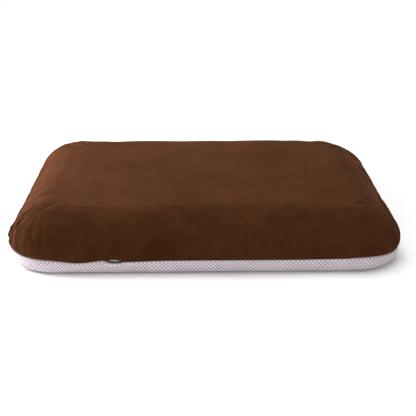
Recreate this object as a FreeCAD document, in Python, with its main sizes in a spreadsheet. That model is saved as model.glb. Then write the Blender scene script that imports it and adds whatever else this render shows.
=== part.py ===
"""Pet cushion bed: a zipped two-fabric cover over a removable fibre-filled pad.

Frame: millimetres, +Z up, +X along the bed's long side, the zip on the -Y side.
The origin is on the floor, under the middle of the bed.
"""

import FreeCAD, Part
import Sketcher
import math
import os

from FreeCAD import Vector

# ---------------------------------------------------------------- driving sizes
SIZES = {
    # the whole bed
    "bed_length": 737,
    "bed_width": 533,
    "bed_height": 100,
    "corner_radius": 97,      # plan radius of the widest outline
    "seam_height": 30,        # where the top and bottom covers are sewn together
    "lip_height": 14,         # from the seam up to where the top cover bulges furthest
    "seam_inset": 5,          # how far the seam sits inside the widest outline
    "foot_inset": 14,         # how far the floor contact sits inside it
    # the covers
    "plush_wall": 2.5,
    "grip_wall": 1.5,
    "grip_film": 0.5,         # printed grip dots, as a film under the bottom cover
    "floor_panel_inset": 40,
    "allowance_reach": 12,    # inner edge of the seam allowance, from the widest outline
    "allowance_wall": 1.2,
    "binding_wall": 0.5,
    "binding_width": 3,
    "thread_size": 0.5,
    "thread_inset": 8.3,
    # the removable pad
    "pad_clearance": 1.15,    # from the pad to the back of the zip's slider
    "pad_gap": 0.5,
    "pad_split_height": 50,
    "pad_foot_radius": 20,
    "liner_wall": 0.8,
    "fill_gap": 0.2,
    # the zip: it runs along the straight part of the front seam
    "zip_start_margin": 104.5,  # from the left corner's arc to the chain's closed end
    "zip_end_margin": 18.5,     # from the chain's open end to the right corner's arc
    "slot_margin": 9,           # the slot in the covers goes this far past the chain
    "tape_margin": 16,
    "chain_inset": 12,          # depth of the tape's middle plane behind the widest outline
    "slot_half": 4.8,
    "welt_wall": 2,
    "tape_wall": 0.6,
    "tape_reach": 14,
    "chain_gap": 0.5,           # half of the gap between the two coils
    "coil_height": 2.2,
    "coil_depth": 2.2,
    "stop_length": 2.2,
    "tack_length": 2.5,
    "tack_wall": 0.8,
    "zip_stitch_height": 6,     # the lines that hold the tapes, from the chain's middle
    # the slider and its pull
    "slider_length": 12,
    "slider_half": 4.1,
    "slider_wall": 1.2,
    "slider_clearance": 0.35,
    "web_half": 0.3,
    "bridge_opening": 1.8,
    "bridge_wall": 1.1,
    "bridge_half": 1,
    "bridge_reach": 4,          # half of the bridge's length along the chain
    "pull_length": 11.5,
    "pull_half": 2.8,
    "pull_wall": 1.2,
    "eye_half": 1.4,
    "eye_reach": 5.4,
    "eye_rim": 1,
    "tip_radius": 2,
    "bar_round": 0.4,
}

doc = FreeCAD.newDocument("pet_cushion_bed")
sheet = doc.addObject("Spreadsheet::Sheet", "Sizes")
for row, (alias, size) in enumerate(SIZES.items(), start=1):
    sheet.set(f"A{row}", alias)
    sheet.set(f"B{row}", str(size))
    sheet.setAlias(f"B{row}", alias)
doc.recompute()


def cells(text):
    """An expression with each driving size's name turned into its cell."""
    words = sorted(SIZES, key=len, reverse=True)
    for number, word in enumerate(words):
        text = text.replace(word, f"@{number}@")
    for number, word in enumerate(words):
        text = text.replace(f"@{number}@", f"Sizes.{word}")
    return text


def value(text):
    """The expression's value now, as a plain number."""
    return float(sheet.evalExpression(cells(text)))


# ---------------------------------------------------------------- shared formulas
HALF_LENGTH = "(bed_length / 2)"
HALF_WIDTH = "(bed_width / 2)"
WIDEST = "(seam_height + lip_height)"
SHOULDER = f"(bed_height - {WIDEST})"
LIP = "((lip_height^2 + seam_inset^2) / (2 * seam_inset))"
FLANK = ("(((seam_height - grip_film)^2 + (foot_inset - seam_inset)^2)"
         " / (2 * (foot_inset - seam_inset)))")
STRAIGHT = f"({HALF_LENGTH} - corner_radius)"
CHAIN_START = f"(-{STRAIGHT} + zip_start_margin)"
CHAIN_END = f"({STRAIGHT} - zip_end_margin)"
CHAIN_LENGTH = f"({CHAIN_END} - {CHAIN_START})"
CHAIN_Y = f"(-{HALF_WIDTH} + chain_inset)"
TAPE_FRONT = f"({CHAIN_Y} - tape_wall / 2)"
COIL_FRONT = f"({TAPE_FRONT} - coil_depth)"
PAD_INSET = "(chain_inset + tape_wall / 2 + slider_clearance + slider_wall + pad_clearance)"


# ---------------------------------------------------------------- sketch helpers
def origin_plane(body, role):
    return next(f for f in body.Origin.OriginFeatures if f.Role == role)


def arc_between(start, end, radius, turn):
    """Centre of the short arc from start to end; turn is 1 anticlockwise, -1 clockwise."""
    chord = end - start
    rise = math.sqrt(max(radius ** 2 - (chord.Length / 2) ** 2, 0))
    left = Vector(-chord.y, chord.x, 0).normalize()
    return (start + end) / 2 + left * rise * turn


def outline(body, name, role, corners, arcs, lift=None):
    """A closed, fully bound sketch.

    corners are (x, y) expressions; arcs maps an edge's number to (radius, turn).
    lift is the expression for how far the sketch stands off its plane.
    """
    sketch = body.newObject("Sketcher::SketchObject", name)
    sketch.AttachmentSupport = [(origin_plane(body, role), "")]
    sketch.MapMode = "FlatFace"
    if lift:
        sketch.setExpression("AttachmentOffset.Base.z", cells(lift))
    points = [Vector(value(x), value(y), 0) for x, y in corners]
    ends = []
    for edge, start in enumerate(points):
        end = points[(edge + 1) % len(points)]
        if edge in arcs:
            radius, turn = arcs[edge]
            centre = arc_between(start, end, value(radius), turn)
            first, last = (start, end) if turn > 0 else (end, start)
            angles = [math.atan2(p.y - centre.y, p.x - centre.x) for p in (first, last)]
            circle = Part.Circle(centre, Vector(0, 0, 1), value(radius))
            sketch.addGeometry(Part.ArcOfCircle(circle, *angles), False)
            ends.append((1, 2) if turn > 0 else (2, 1))
        else:
            sketch.addGeometry(Part.LineSegment(start, end), False)
            ends.append((1, 2))
    for edge, (x, y) in enumerate(corners):
        before = edge - 1 if edge else len(corners) - 1
        sketch.addConstraint(Sketcher.Constraint(
            "Coincident", before, ends[before][1], edge, ends[edge][0]))
        for axis, text in ((0, x), (1, y)):
            if text == "0":
                sketch.addConstraint(Sketcher.Constraint(
                    "PointOnObject", edge, ends[edge][0], -2 if axis == 0 else -1))
                continue
            kind = ("DistanceX", "DistanceY")[axis]
            sketch.addConstraint(Sketcher.Constraint(
                kind, -1, 1, edge, ends[edge][0], value(text)))
            sketch.setExpression(f"Constraints[{sketch.ConstraintCount - 1}]", cells(text))
    for edge, (radius, _) in arcs.items():
        sketch.addConstraint(Sketcher.Constraint("Radius", edge, value(radius)))
        sketch.setExpression(f"Constraints[{sketch.ConstraintCount - 1}]", cells(radius))
    return sketch


def rounded_plan(body, name, inset, lift=None):
    """The bed's plan outline, moved inward by inset, starting at the middle of the front."""
    a, b, q = f"({HALF_LENGTH} - {inset})", f"({HALF_WIDTH} - {inset})", f"(corner_radius - {inset})"
    corners = [
        ("0", f"-{b}"), (f"{a} - {q}", f"-{b}"), (a, f"-({b} - {q})"),
        (a, f"{b} - {q}"), (f"{a} - {q}", b), (f"-({a} - {q})", b),
        (f"-{a}", f"{b} - {q}"), (f"-{a}", f"-({b} - {q})"), (f"-({a} - {q})", f"-{b}"),
    ]
    arcs = {edge: (q, 1) for edge in (1, 3, 5, 7)}
    return outline(body, name, "XY_Plane", corners, arcs, lift)


def section(body, name, corners, arcs):
    """A wall section at the middle of the front; corners are (inset, height)."""
    placed = [(f"-{HALF_WIDTH} + {inset}", height) for inset, height in corners]
    return outline(body, name, "YZ_Plane", placed, arcs)


# ---------------------------------------------------------------- solid helpers
def new_body(name):
    return doc.addObject("PartDesign::Body", name)


def swept_round(body, profile):
    """Carries a wall section right round the bed's plan outline."""
    spine = rounded_plan(body, body.Name + "_path", "0")
    doc.recompute()
    pipe = body.newObject("PartDesign::AdditivePipe", body.Name + "_wall")
    pipe.Profile = profile
    pipe.Spine = (spine, [f"Edge{n + 1}" for n in range(spine.GeometryCount)])
    doc.recompute()
    return pipe


def panel(body, name, inset, low, thickness):
    """A flat panel with the bed's plan shape, from height low upward."""
    plan = rounded_plan(body, name + "_plan", inset, lift=low)
    pad = body.newObject("PartDesign::Pad", name)
    pad.Profile = plan
    pad.setExpression("Length", cells(thickness))
    doc.recompute()
    return pad


def flat_face(shape, top):
    """The name of the highest or lowest level face."""
    level = [(face.CenterOfMass.z, n + 1) for n, face in enumerate(shape.Faces)
             if abs(face.normalAt(0, 0).z) > 0.999]
    return f"Face{(max(level) if top else min(level))[1]}"


def fillet_round(body, base, top, radius):
    fillet = body.newObject("PartDesign::Fillet", f"{base.Name}_round")
    fillet.Base = (base, [flat_face(base.Shape, top)])
    fillet.setExpression("Radius", cells(radius))
    doc.recompute()
    return fillet


def box(name, x, y, z, long, deep, high):
    """A box from its lowest corner, each figure an expression."""
    made = doc.addObject("Part::Box", name)
    for prop, text in (("Length", long), ("Width", deep), ("Height", high),
                       ("Placement.Base.x", x), ("Placement.Base.y", y), ("Placement.Base.z", z)):
        made.setExpression(prop, cells(text))
    return made


def cut(name, base, tool):
    made = doc.addObject("Part::Cut", name)
    made.Base, made.Tool = base, tool
    doc.recompute()
    return made


def fused(name, pieces):
    made = doc.addObject("Part::MultiFuse", name)
    made.Shapes = pieces
    doc.recompute()
    return made


# ---------------------------------------------------------------- the covers
def zip_slot(name):
    """What the covers leave open for the chain and slider."""
    return box(name, f"{CHAIN_START} - slot_margin", f"-{HALF_WIDTH} - 1",
               "seam_height - slot_half", f"{CHAIN_LENGTH} + 2 * slot_margin",
               "chain_inset - 2", "2 * slot_half")


def zip_room(name):
    """What the seam allowance, binding and thread leave free behind the slot."""
    return box(name, f"{CHAIN_START} - tape_margin - 1", f"-{HALF_WIDTH} + thread_inset - 0.4",
               "seam_height - slot_half - 1", f"{CHAIN_LENGTH} + 2 * tape_margin + 2",
               f"{PAD_INSET} - thread_inset + 0.4", "2 * slot_half + 2")


def welt(name, inset, height):
    """The cover's folded edge, from inside its wall to the face of the tape."""
    return box(name, f"{CHAIN_START} - slot_margin", f"-{HALF_WIDTH} + {inset}", height,
               f"{CHAIN_LENGTH} + 2 * slot_margin", f"chain_inset - tape_wall / 2 - ({inset})",
               "welt_wall")


def top_cover():
    """Plush shell: rolled lip, bulging side, shoulder and flat crown."""
    body = new_body("plush_shell")
    lip_end = (f"{LIP} - sqrt(({LIP} - plush_wall)^2"
               " - (lip_height - allowance_wall)^2)")
    corners = [
        ("seam_inset", "seam_height"), ("0", WIDEST), (SHOULDER, "bed_height"),
        (SHOULDER, "bed_height - plush_wall"), ("plush_wall", WIDEST),
        (lip_end, "seam_height + allowance_wall"),
        ("allowance_reach", "seam_height + allowance_wall"), ("allowance_reach", "seam_height"),
    ]
    arcs = {0: (LIP, -1), 1: (SHOULDER, -1), 3: (f"{SHOULDER} - plush_wall", 1),
            4: (f"{LIP} - plush_wall", 1)}
    swept_round(body, section(body, "plush_section", corners, arcs))
    panel(body, "plush_crown", SHOULDER, "bed_height - plush_wall", "plush_wall")
    edge = welt("plush_welt", "plush_wall / 2 + 1", "seam_height + slot_half")
    roomy = cut("plush_roomy", body, zip_room("plush_zip_room"))
    slotted = cut("plush_slotted", roomy, zip_slot("plush_zip_slot"))
    return fused("top_cover", [slotted, edge])


def bottom_cover():
    """Grip-fabric tray: rounded flank from the seam to the floor, and the floor panel."""
    body = new_body("grip_tray")
    inside = f"{FLANK} - grip_wall"
    flank_foot = (f"seam_inset + {FLANK} - sqrt(({inside})^2"
                  " - (seam_height - grip_film - grip_wall)^2)")
    flank_top = f"seam_inset + {FLANK} - sqrt(({inside})^2 - allowance_wall^2)"
    corners = [
        ("seam_inset", "seam_height"), ("foot_inset", "grip_film"),
        ("floor_panel_inset", "grip_film"), ("floor_panel_inset", "grip_film + grip_wall"),
        (flank_foot, "grip_film + grip_wall"), (flank_top, "seam_height - allowance_wall"),
        ("allowance_reach", "seam_height - allowance_wall"), ("allowance_reach", "seam_height"),
    ]
    arcs = {0: (FLANK, 1), 4: (inside, -1)}
    swept_round(body, section(body, "grip_section", corners, arcs))
    panel(body, "grip_floor", "floor_panel_inset", "grip_film", "grip_wall")
    edge = welt("grip_welt", "seam_inset + grip_wall / 2 + 0.5",
                "seam_height - slot_half - welt_wall")
    roomy = cut("grip_roomy", body, zip_room("grip_zip_room"))
    slotted = cut("grip_slotted", roomy, zip_slot("grip_zip_slot"))
    return fused("bottom_cover", [slotted, edge])


def grip_dots():
    """The printed grip dots under the bottom cover, as the film that they fill."""
    body = new_body("grip_dots")
    panel(body, "grip_dot_film", "(foot_inset + 1)", "0", "grip_film")
    return body


def seam_binding():
    """Tape folded round the raw edge of the seam allowance."""
    body = new_body("binding_ring")
    start = "allowance_reach - binding_width"
    above = "seam_height + allowance_wall"
    below = "seam_height - allowance_wall"
    edge_inside = "allowance_reach + 0.1"
    edge_outside = f"{edge_inside} + binding_wall"
    corners = [
        (start, above), (start, f"{above} + binding_wall"), (edge_outside, f"{above} + binding_wall"),
        (edge_outside, f"{below} - binding_wall"), (start, f"{below} - binding_wall"), (start, below),
        (edge_inside, below), (edge_inside, above),
    ]
    swept_round(body, section(body, "binding_section", corners, {}))
    return cut("seam_binding", body, zip_room("binding_zip_room"))


def thread_ring(name, inset, low):
    """One line of thread, thread_size square, right round the bed."""
    body = new_body(name)
    corners = [
        (inset, low), (f"{inset} + thread_size", low),
        (f"{inset} + thread_size", f"{low} + thread_size"), (inset, f"{low} + thread_size"),
    ]
    swept_round(body, section(body, name + "_section", corners, {}))
    return body


def seam_thread():
    """The cover seam's needle and bobbin threads, one on each side of the allowance."""
    needle = thread_ring("needle_thread", "thread_inset", "seam_height + allowance_wall")
    bobbin = thread_ring("bobbin_thread", "thread_inset",
                         "seam_height - allowance_wall - thread_size")
    both = doc.addObject("Part::Compound", "seam_thread_rings")
    both.Links = [needle, bobbin]
    doc.recompute()
    return cut("seam_thread", both, zip_room("thread_zip_room"))


# ---------------------------------------------------------------- the removable pad
PAD_TOP = "(bed_height - plush_wall - pad_gap)"
PAD_FOOT = "(grip_film + grip_wall + pad_gap)"
PAD_SHOULDER = f"({SHOULDER} - {PAD_INSET})"


def liner_half(name, top):
    """Half of the pad's liner: a rounded box, hollowed, open at the split."""
    body = new_body(name)
    low = "pad_split_height" if top else PAD_FOOT
    high = f"{PAD_TOP} - pad_split_height" if top else f"pad_split_height - {PAD_FOOT}"
    block = panel(body, name + "_block", PAD_INSET, low, high)
    radius = PAD_SHOULDER if top else "pad_foot_radius"
    rounded = fillet_round(body, block, top, radius)
    hollow = body.newObject("PartDesign::Thickness", name + "_hollow")
    hollow.Base = (rounded, [flat_face(rounded.Shape, not top)])
    hollow.setExpression("Value", cells("liner_wall"))
    hollow.Reversed = True
    hollow.Join = 0
    doc.recompute()
    return body


def fibre_fill():
    body = new_body("fibre_fill")
    clear = "(liner_wall + fill_gap)"
    block = panel(body, "fill_block", f"({PAD_INSET} + {clear})", f"{PAD_FOOT} + {clear}",
                  f"{PAD_TOP} - {PAD_FOOT} - 2 * {clear}")
    rounded = fillet_round(body, block, True, f"{PAD_SHOULDER} - {clear}")
    fillet_round(body, rounded, False, f"pad_foot_radius - {clear}")
    return body


# ---------------------------------------------------------------- the zip
def zip_tape(name, upper):
    low = "seam_height + chain_gap" if upper else "seam_height - tape_reach"
    return box(name, f"{CHAIN_START} - tape_margin", TAPE_FRONT, low,
               f"{CHAIN_LENGTH} + 2 * tape_margin", "tape_wall", "tape_reach - chain_gap")


def zip_coil(name, upper):
    """One coil, as the bar that it fills."""
    low = "seam_height + chain_gap" if upper else "seam_height - chain_gap - coil_height"
    return box(name, CHAIN_START, COIL_FRONT, low, CHAIN_LENGTH, "coil_depth", "coil_height")


def zip_end_stops():
    """The two stops at the closed end, one on each half of the chain."""
    lows = ("seam_height + chain_gap", "seam_height - chain_gap - coil_height")
    stops = [box(f"end_stop_{n}", f"{CHAIN_START} - stop_length", COIL_FRONT, low,
                 "stop_length", "coil_depth", "coil_height") for n, low in enumerate(lows)]
    both = doc.addObject("Part::Compound", "zip_end_stops")
    both.Links = stops
    return both


def zip_bottom_stop():
    return box("zip_bottom_stop", CHAIN_END, COIL_FRONT, "seam_height - chain_gap - coil_height",
               "stop_length", "coil_depth", "2 * (chain_gap + coil_height)")


def zip_tack(name, x):
    """Bar tack that closes the zip's end across both tapes."""
    return box(name, x, f"{TAPE_FRONT} - tack_wall", "seam_height - slot_half + 0.5",
               "tack_length", "tack_wall", "2 * slot_half - 1")


def zip_stitch(name, upper):
    """The line of thread on the back of a tape that holds it to the cover's folded edge."""
    sign = "+" if upper else "-"
    return box(name, f"{CHAIN_START} - slot_margin", f"{CHAIN_Y} + tape_wall / 2",
               f"seam_height {sign} zip_stitch_height - thread_size / 2",
               f"{CHAIN_LENGTH} + 2 * slot_margin", "thread_size", "thread_size")


SLIDER_X = f"({CHAIN_START} + slider_length / 2 + 0.5)"
PLATE_BACK = f"({COIL_FRONT} - slider_clearance)"
PLATE_FRONT = f"({PLATE_BACK} - slider_wall)"
PIVOT_Y = f"({PLATE_FRONT} - bridge_opening / 2)"


def slider_box(name, half_x, y, z, deep, high):
    return box(name, f"{SLIDER_X} - {half_x}", y, z, f"2 * {half_x}", deep, high)


def zip_slider():
    """Front and back plates, side flanges, the web between the coils, and the bridge."""
    half = "(slider_length / 2)"
    behind = f"({CHAIN_Y} + tape_wall / 2 + slider_clearance)"
    front = slider_box("slider_front", half, PLATE_FRONT, "seam_height - slider_half",
                       "slider_wall", "2 * slider_half")
    back = slider_box("slider_back", half, behind, "seam_height - slider_half",
                      "slider_wall", "2 * slider_half")
    web = slider_box("slider_web", half, PLATE_FRONT, "seam_height - web_half",
                     f"{behind} + slider_wall - {PLATE_FRONT}", "2 * web_half")
    flange_deep = f"{TAPE_FRONT} - slider_clearance - {PLATE_FRONT}"
    flange_wall = "(slider_half - chain_gap - coil_height - slider_clearance)"
    flanges = [
        slider_box("slider_upper_flange", half, PLATE_FRONT,
                   f"seam_height + slider_half - {flange_wall}", flange_deep, flange_wall),
        slider_box("slider_lower_flange", half, PLATE_FRONT,
                   "seam_height - slider_half", flange_deep, flange_wall),
    ]
    strap_deep = "(bridge_opening + bridge_wall)"
    strap = slider_box("slider_strap", "bridge_reach", f"{PLATE_FRONT} - {strap_deep}",
                       "seam_height - bridge_half", strap_deep, "2 * bridge_half")
    opening = slider_box("slider_opening", "(bridge_reach - bridge_wall)",
                         f"{PLATE_FRONT} - bridge_opening", "seam_height - bridge_half - 1",
                         "bridge_opening", "2 * bridge_half + 2")
    bridge = cut("slider_bridge", strap, opening)
    whole = fused("slider_whole", [front, back, web, bridge] + flanges)
    return rounded_outline(whole)


def rounded_outline(whole):
    """Rounds the slider's upright corners, as seen from the front."""
    softened = doc.addObject("Part::Fillet", "zip_slider")
    softened.Base = whole
    radius = value("slider_wall")
    low, high = (value(f"seam_height {sign} slider_half") for sign in "-+")
    ends = [value(f"{SLIDER_X} {sign} slider_length / 2") for sign in "-+"]
    edges = []
    for number, edge in enumerate(whole.Shape.Edges, start=1):
        middle = edge.CenterOfMass
        at_end = min(abs(middle.x - end) for end in ends) < 0.01
        at_side = min(abs(middle.z - low), abs(middle.z - high)) < 0.01
        if at_end and at_side and len(edge.Vertexes) == 2:
            edges.append((number, radius, radius))
    softened.Edges = edges
    doc.recompute()
    return softened


def zip_pull():
    """Flat pull: a cross-bar through the bridge, an open eye and a rounded grip."""
    body = new_body("pull_plate")
    reach, rim = "pull_length", "(eye_half + eye_rim)"
    bar = f"{SLIDER_X} + pull_wall / 2"
    neck, tip = f"{SLIDER_X} - eye_reach", f"{SLIDER_X} - {reach}"
    corners = [
        (bar, f"seam_height - {rim}"), (bar, f"seam_height + {rim}"),
        (neck, f"seam_height + {rim}"), (f"{tip} + tip_radius", "seam_height + pull_half"),
        (tip, "seam_height + pull_half - tip_radius"),
        (tip, "seam_height - pull_half + tip_radius"),
        (f"{tip} + tip_radius", "seam_height - pull_half"), (neck, f"seam_height - {rim}"),
    ]
    arcs = {3: ("tip_radius", 1), 5: ("tip_radius", 1)}
    plan = outline(body, "pull_plan", "XZ_Plane", corners, arcs, f"-({PIVOT_Y} + pull_wall / 2)")
    pad = body.newObject("PartDesign::Pad", "pull_pad")
    pad.Profile = plan
    pad.setExpression("Length", cells("pull_wall"))
    doc.recompute()
    edges = [f"Edge{n + 1}" for n, edge in enumerate(pad.Shape.Edges)
             if abs(edge.CenterOfMass.x - value(bar)) < 0.01
             and edge.Length > value("2 * eye_half")]
    softened = body.newObject("PartDesign::Fillet", "pull_bar_round")
    softened.Base = (pad, edges)
    softened.setExpression("Radius", cells("bar_round"))
    eye = box("pull_eye", neck, f"{PIVOT_Y} - pull_wall", "seam_height - eye_half",
              "eye_reach - pull_wall / 2", "2 * pull_wall", "2 * eye_half")
    return cut("zip_pull", body, eye)


# ---------------------------------------------------------------- the assembly

PARTS = {
    "top_cover": top_cover(),
    "bottom_cover": bottom_cover(),
    "grip_dots": grip_dots(),
    "seam_binding": seam_binding(),
    "seam_thread": seam_thread(),
    "liner_top": liner_half("liner_top", True),
    "liner_bottom": liner_half("liner_bottom", False),
    "liner_thread": thread_ring("liner_thread", f"{PAD_INSET} - 0.1 - thread_size",
                                "pad_split_height - thread_size / 2"),
    "fibre_fill": fibre_fill(),
    "zip_tape_upper": zip_tape("zip_tape_upper", True),
    "zip_tape_lower": zip_tape("zip_tape_lower", False),
    "zip_coil_upper": zip_coil("zip_coil_upper", True),
    "zip_coil_lower": zip_coil("zip_coil_lower", False),
    "zip_end_stops": zip_end_stops(),
    "zip_bottom_stop": zip_bottom_stop(),
    "zip_tack_closed": zip_tack("zip_tack_closed",
                                f"{CHAIN_START} - stop_length - 1 - tack_length"),
    "zip_tack_open": zip_tack("zip_tack_open", f"{CHAIN_END} + stop_length + 1"),
    "zip_stitch_upper": zip_stitch("zip_stitch_upper", True),
    "zip_stitch_lower": zip_stitch("zip_stitch_lower", False),
    "zip_slider": zip_slider(),
    "zip_pull": zip_pull(),
}


def main():
    doc.recompute()
    failed = [o.Name for o in doc.Objects if {"Invalid", "Error"} & set(o.State)]
    if failed:
        raise RuntimeError(f"objects that failed: {failed}")
    for label, part in PARTS.items():
        part.Label = label
        if part.Shape.isNull() or not part.Shape.isValid() or not part.Shape.Solids:
            raise RuntimeError(f"{label} has no valid solid")
    os.makedirs("parts", exist_ok=True)
    for label, part in PARTS.items():
        part.Shape.exportStep(f"parts/{label}.step")
        room = part.Shape.optimalBoundingBox(False, False)
        print(f"{label:18s} solids {len(part.Shape.Solids)} volume {part.Shape.Volume:12.1f}"
              f" x {room.XMin:8.2f} {room.XMax:8.2f} y {room.YMin:8.2f} {room.YMax:8.2f}"
              f" z {room.ZMin:7.2f} {room.ZMax:7.2f}")


main()
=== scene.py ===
"""Looks of the pet cushion bed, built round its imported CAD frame.

The frame is in metres, +Z up, with the zip on the -Y side. Shapes are worked out here in
millimetres and turned into metres when a mesh is made.
"""

import math

import bpy
import numpy as np
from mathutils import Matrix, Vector


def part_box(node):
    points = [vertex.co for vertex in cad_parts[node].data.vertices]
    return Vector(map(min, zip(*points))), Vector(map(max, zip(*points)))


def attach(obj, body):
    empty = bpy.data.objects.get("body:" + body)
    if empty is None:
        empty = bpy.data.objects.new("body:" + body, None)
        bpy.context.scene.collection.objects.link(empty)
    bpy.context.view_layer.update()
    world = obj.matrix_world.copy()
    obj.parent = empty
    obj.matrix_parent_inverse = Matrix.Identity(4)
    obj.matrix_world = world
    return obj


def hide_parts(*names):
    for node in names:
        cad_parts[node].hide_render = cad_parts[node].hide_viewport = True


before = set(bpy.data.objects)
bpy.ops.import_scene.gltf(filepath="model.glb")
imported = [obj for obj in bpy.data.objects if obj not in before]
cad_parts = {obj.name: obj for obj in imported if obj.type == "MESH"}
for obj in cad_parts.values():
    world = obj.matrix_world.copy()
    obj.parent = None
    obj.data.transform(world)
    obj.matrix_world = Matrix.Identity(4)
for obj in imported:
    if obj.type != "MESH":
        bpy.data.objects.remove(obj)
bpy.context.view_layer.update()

# ---------------------------------------------------------------- sizes, from the frame


def box_mm(node):
    low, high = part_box(node)
    return np.array(low) * 1000, np.array(high) * 1000


def node_points(node):
    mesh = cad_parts[node].data
    flat = np.zeros(len(mesh.vertices) * 3)
    mesh.vertices.foreach_get("co", flat)
    return flat.reshape(-1, 3) * 1000


(_, _, SEAM_Z), (HALF_X, HALF_Y, HEIGHT) = box_mm("top_cover")
SEAM_INSET = HALF_X - box_mm("bottom_cover")[1][0]
film = node_points("grip_dots")
FILM_HALF_X, FILM_HALF_Y, FILM_TOP = film.max(0)
FILM_MARGIN = 1  # the dots' film ends this far inside the foot
ON_EDGE = 0.01
STRAIGHT_X = film[film[:, 1] > FILM_HALF_Y - ON_EDGE][:, 0].max()
STRAIGHT_Y = film[film[:, 0] > FILM_HALF_X - ON_EDGE][:, 1].max()
CORE = np.array([STRAIGHT_X, STRAIGHT_Y])  # half sizes of what the corners turn about
CORNER = HALF_X - STRAIGHT_X
CORNER_MIDDLE = CORNER * (1 - math.sqrt(0.5))
FOOT_INSET = HALF_X - FILM_HALF_X - FILM_MARGIN
LIP_HEIGHT = 14  # from the top cover's lower edge up to its widest line
WIDEST_Z = SEAM_Z + LIP_HEIGHT
HEM_INSET = 11.4  # where both covers' turned-in edges end

def ends_x(node):
    """Where a node starts and ends along the front."""
    low, high = box_mm(node)
    return low[0], high[0]


SLOT_START, SLOT_END = ends_x("zip_stitch_upper")
TAPE_START, TAPE_END = ends_x("zip_tape_upper")
SLIDER_END = ends_x("zip_slider")[1]


def smooth(edge0, edge1, x):
    """0 at edge0 and 1 at edge1, eased at both; edge1 may be the lower one."""
    t = np.clip((x - edge0) / (edge1 - edge0), 0, 1)
    return t * t * (3 - 2 * t)


def core_of(points):
    """The nearest place, in plan, on the rectangle that the corners turn about."""
    return np.clip(points[:, :2], -CORE, CORE)


# ---------------------------------------------------------------- mesh helpers
def shade_smooth(mesh):
    mesh.polygons.foreach_set("use_smooth", [True] * len(mesh.polygons))


def add_mesh(name, points, faces, body="bed"):
    """A mesh object from points in millimetres, riding on a body."""
    mesh = bpy.data.meshes.new(name)
    places = (np.asarray(points) * 0.001).tolist()
    mesh.from_pydata(places, [], [list(map(int, face)) for face in faces])
    mesh.validate()
    shade_smooth(mesh)
    obj = bpy.data.objects.new(name, mesh)
    bpy.context.scene.collection.objects.link(obj)
    if body:
        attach(obj, body)
    return obj


def points_of(obj):
    flat = np.zeros(len(obj.data.vertices) * 3)
    obj.data.vertices.foreach_get("co", flat)
    return flat.reshape(-1, 3) * 1000


def set_points(obj, points):
    obj.data.vertices.foreach_set("co", (np.asarray(points) * 0.001).ravel())
    obj.data.update()


def apply_modifiers(obj):
    bpy.context.view_layer.update()
    graph = bpy.context.evaluated_depsgraph_get()
    mesh = bpy.data.meshes.new_from_object(obj.evaluated_get(graph))
    obj.modifiers.clear()
    old, obj.data = obj.data, mesh
    name = old.name
    bpy.data.meshes.remove(old)
    mesh.name = name


def subdivide(obj):
    modifier = obj.modifiers.new("subdivision", "SUBSURF")
    modifier.levels = modifier.render_levels = 1
    apply_modifiers(obj)
    shade_smooth(obj.data)


# ---------------------------------------------------------------- the plan of the bed
class Plan:
    """A loop round the bed, and a grid that fills its inner part, sharing the loop's columns.

    A loop point at an inset is core + outward * (CORNER - inset).
    """

    def __init__(self, inner, step, corner_cells):
        self.inner = inner
        angle = np.arange(1, corner_cells + 1) / corner_cells * math.pi / 4
        bend = np.sqrt(2) * np.sin(angle)

        def lines(straight):
            cells = max(2, round(2 * straight / step))
            core = np.linspace(-straight, straight, cells + 1)
            core = np.r_[[-straight] * corner_cells, core, [straight] * corner_cells]
            lean = np.r_[-bend[::-1], np.zeros(cells + 1), bend]
            return core, lean

        core_x, lean_x = lines(STRAIGHT_X)
        core_y, lean_y = lines(STRAIGHT_Y)
        px, py = np.meshgrid(lean_x, lean_y, indexing="ij")
        radius = CORNER - inner
        self.grid_x = core_x[:, None] + radius * px * np.sqrt(1 - py ** 2 / 2)
        self.grid_y = core_y[None, :] + radius * py * np.sqrt(1 - px ** 2 / 2)
        nx, ny = len(core_x) - 1, len(core_y) - 1
        self.shape = (nx + 1, ny + 1)
        loop = [(i, 0) for i in range(nx)] + [(nx, j) for j in range(ny)]
        loop += [(i, ny) for i in range(nx, 0, -1)] + [(0, j) for j in range(ny, 0, -1)]
        self.loop = np.array([i * (ny + 1) + j for i, j in loop])
        edge = np.c_[self.grid_x.ravel()[self.loop], self.grid_y.ravel()[self.loop]]
        self.core = core_of(edge)
        out = edge - self.core
        self.out = out / np.linalg.norm(out, axis=1, keepdims=True)
        self.rim = self.core + self.out * CORNER
        steps = np.linalg.norm(np.roll(self.rim, -1, 0) - self.rim, axis=1)
        self.run = np.r_[0, np.cumsum(steps)[:-1]]
        self.around = steps.sum()
        self.count = len(self.loop)

    def ring(self, inset):
        return self.core + self.out * (CORNER - np.asarray(inset))[..., None]

    def faces(self, rings, flip=False):
        """Faces of the grid and of the rings that follow it outward."""
        ny = self.shape[1]
        index = np.arange(self.shape[0] * ny).reshape(self.shape)
        cells = [index[:-1, :-1], index[1:, :-1], index[1:, 1:], index[:-1, 1:]]
        quads = [np.stack(cells, -1).reshape(-1, 4)]
        start = self.shape[0] * ny
        loops = [self.loop] + [start + k * self.count + np.arange(self.count)
                               for k in range(rings)]
        for inner, outer in zip(loops, loops[1:]):
            quads.append(np.stack([inner, outer, np.roll(outer, -1), np.roll(inner, -1)], -1))
        faces = np.concatenate(quads)
        return faces[:, ::-1] if flip else faces

    def surface(self, insets, heights, grid_height):
        """Points of the grid and rings: insets and heights are (rings, count) arrays."""
        grid = np.stack([self.grid_x, self.grid_y, grid_height(self.grid_x, self.grid_y)], -1)
        rings = [np.c_[self.ring(d), z] for d, z in zip(insets, heights)]
        return np.concatenate([grid.reshape(-1, 3)] + rings)


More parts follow.
